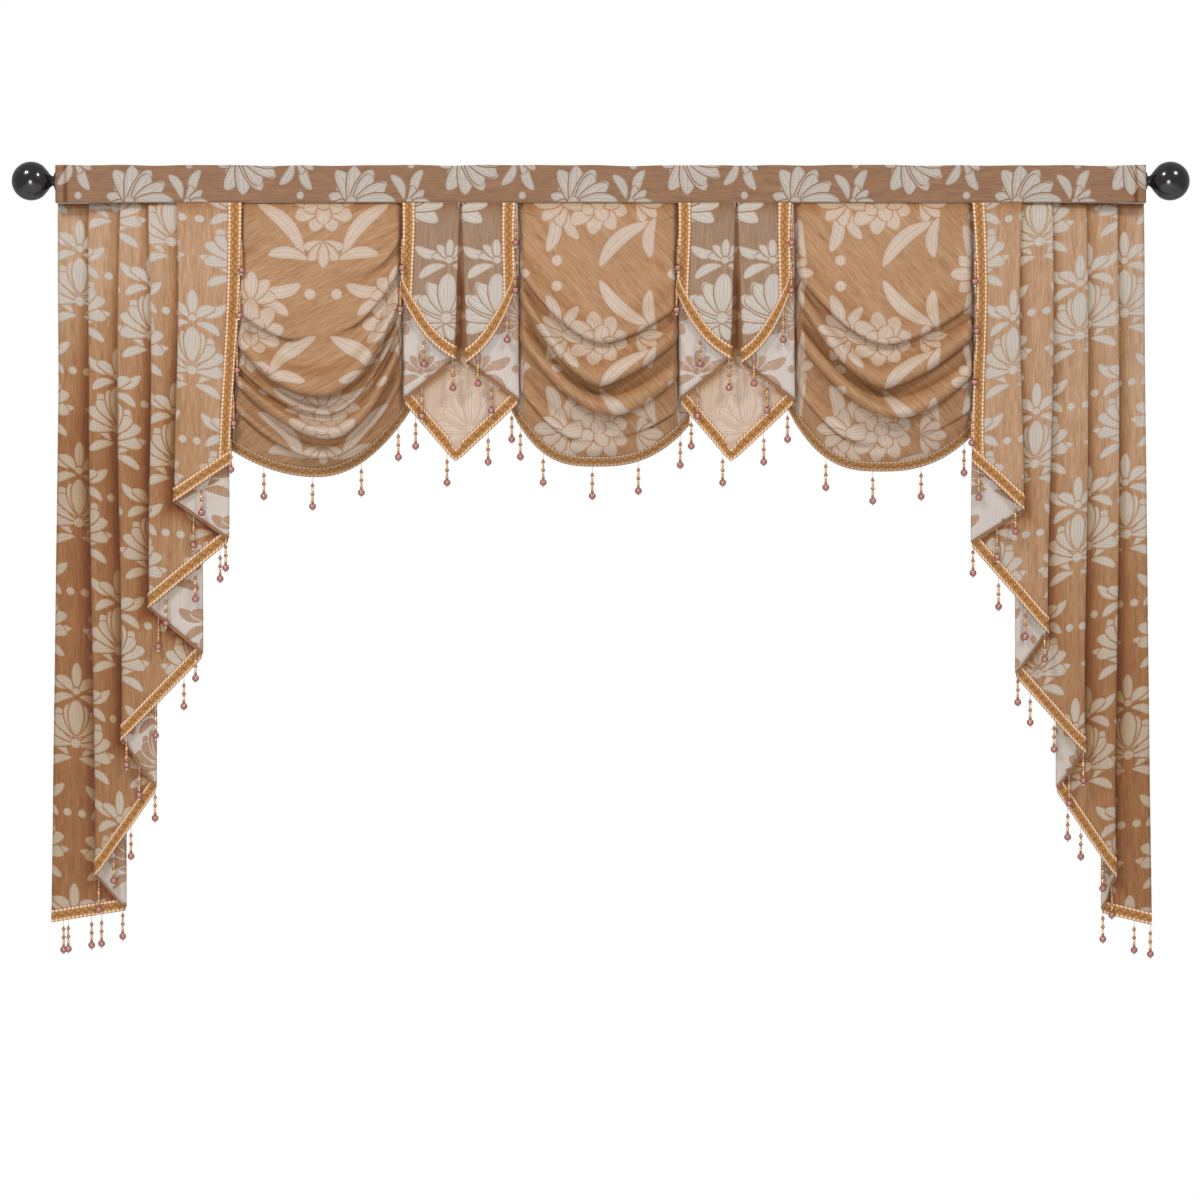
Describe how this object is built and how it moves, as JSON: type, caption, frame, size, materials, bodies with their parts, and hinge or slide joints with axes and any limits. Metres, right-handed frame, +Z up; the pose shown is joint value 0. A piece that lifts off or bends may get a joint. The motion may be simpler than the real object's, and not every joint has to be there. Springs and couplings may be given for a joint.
{
  "type": "swag and tail drape on a curtain rod",
  "caption": "Swag and tail window drape with jabots, a rod pocket heading and bead-fringed braid, hung on a plain round rod with ball finials.",
  "frame": {"origin": "on the rod's axis, midway along the drape", "axes": "+X along the rod to the right as seen from the room, +Y towards the wall, +Z up"},
  "size_m": [2.1255, 0.0951, 1.4413],
  "materials": {
    "black_lacquer": "gloss black lacquer",
    "damask": "two-tone jacquard with a soft sheen",
    "damask_heading": "two-tone jacquard, the slubs running along the rod",
    "gold_braid": "gold gimp braid with rose pearl bead drops"
  },
  "bodies": {
    "root": {"rod": "black_lacquer", "finial_left": "black_lacquer", "finial_right": "black_lacquer", "heading": "damask_heading", "swag_left": "damask", "swag_centre": "damask", "swag_right": "damask", "jabot_left": "damask", "jabot_right": "damask", "tail_left": "damask", "tail_right": "damask", "trim_swag_left": "gold_braid", "trim_swag_centre": "gold_braid", "trim_swag_right": "gold_braid", "trim_jabot_left": "gold_braid", "trim_jabot_right": "gold_braid", "trim_tail_left": "gold_braid", "trim_tail_right": "gold_braid"}
  },
  "joints": []
}
